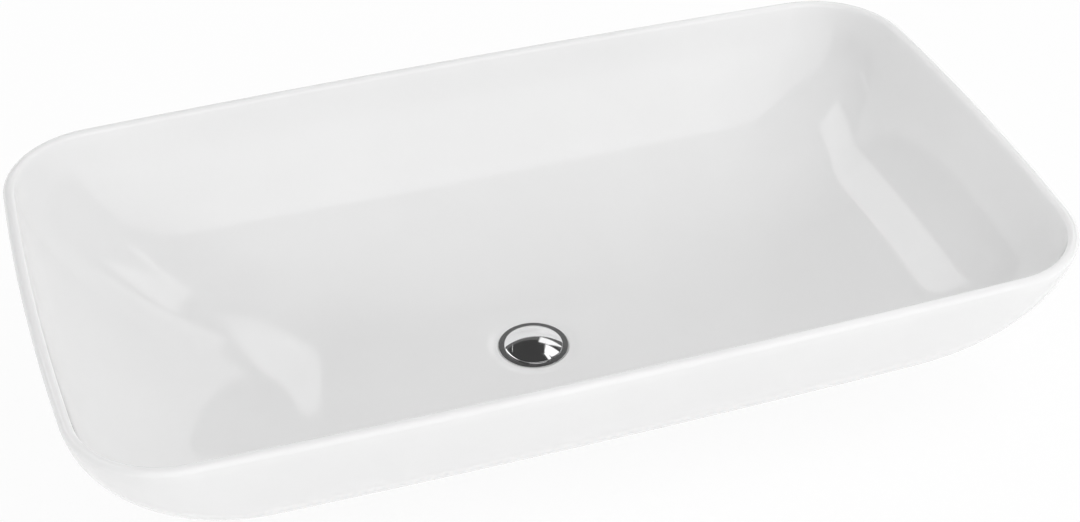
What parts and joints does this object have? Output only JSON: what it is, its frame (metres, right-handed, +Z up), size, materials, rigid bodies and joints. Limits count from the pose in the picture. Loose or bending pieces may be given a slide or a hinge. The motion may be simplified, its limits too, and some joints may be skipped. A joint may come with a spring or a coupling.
{
  "type": "countertop basin",
  "caption": "Rectangular glazed ceramic basin that stands on a countertop, with bowed sides, a rounded thin rim and a push-open chrome plug.",
  "frame": {"origin": "on the drain's axis, at the level of the countertop that the foot stands on", "axes": "+Z up along the drain, +X along the basin's length, +Y away from the user"},
  "size_m": [0.709, 0.4, 0.213],
  "materials": {
    "glaze": "gloss white glaze, the foot's lower face ground and unglazed",
    "chrome": "polished chrome plate on brass",
    "brass": "turned brass",
    "steel": "stainless steel",
    "rubber": "black moulded rubber",
    "nylon": "natural moulded nylon",
    "acetal": "dark grey moulded acetal"
  },
  "bodies": {
    "basin_with_waste": {"basin": "glaze", "waste_body": "chrome", "flange_gasket": "rubber", "underside_gasket": "rubber", "slip_washer": "nylon", "back_nut": "brass", "cartridge_sleeve": "acetal", "rod_seal": "rubber", "return_spring": "steel", "cartridge_base": "acetal", "base_washer": "steel", "base_nut": "brass"},
    "plug": {"plug_cap": "chrome", "seal_carrier": "nylon", "cap_seal": "rubber", "cap_stud": "steel", "stud_nut": "steel", "plunger": "acetal"},
    "cam": {"ratchet_cam": "nylon", "spring_washer": "steel"}
  },
  "joints": [
    {"name": "plug_slide", "type": "slide", "parent": "basin_with_waste", "child": "plug", "axis": [0, 0, 1], "range_m": [0, 0.009], "deforming": ["return_spring"]},
    {"name": "cam_turn", "type": "hinge", "parent": "plug", "child": "cam", "pos_m": [0, 0, -0.012], "axis": [0, 0, 1], "range_deg": [0, 45.2]}
  ],
  "couplings": [
    {"joint": "cam_turn", "follows": "plug_slide", "rad_per_m": 87.266}
  ]
}
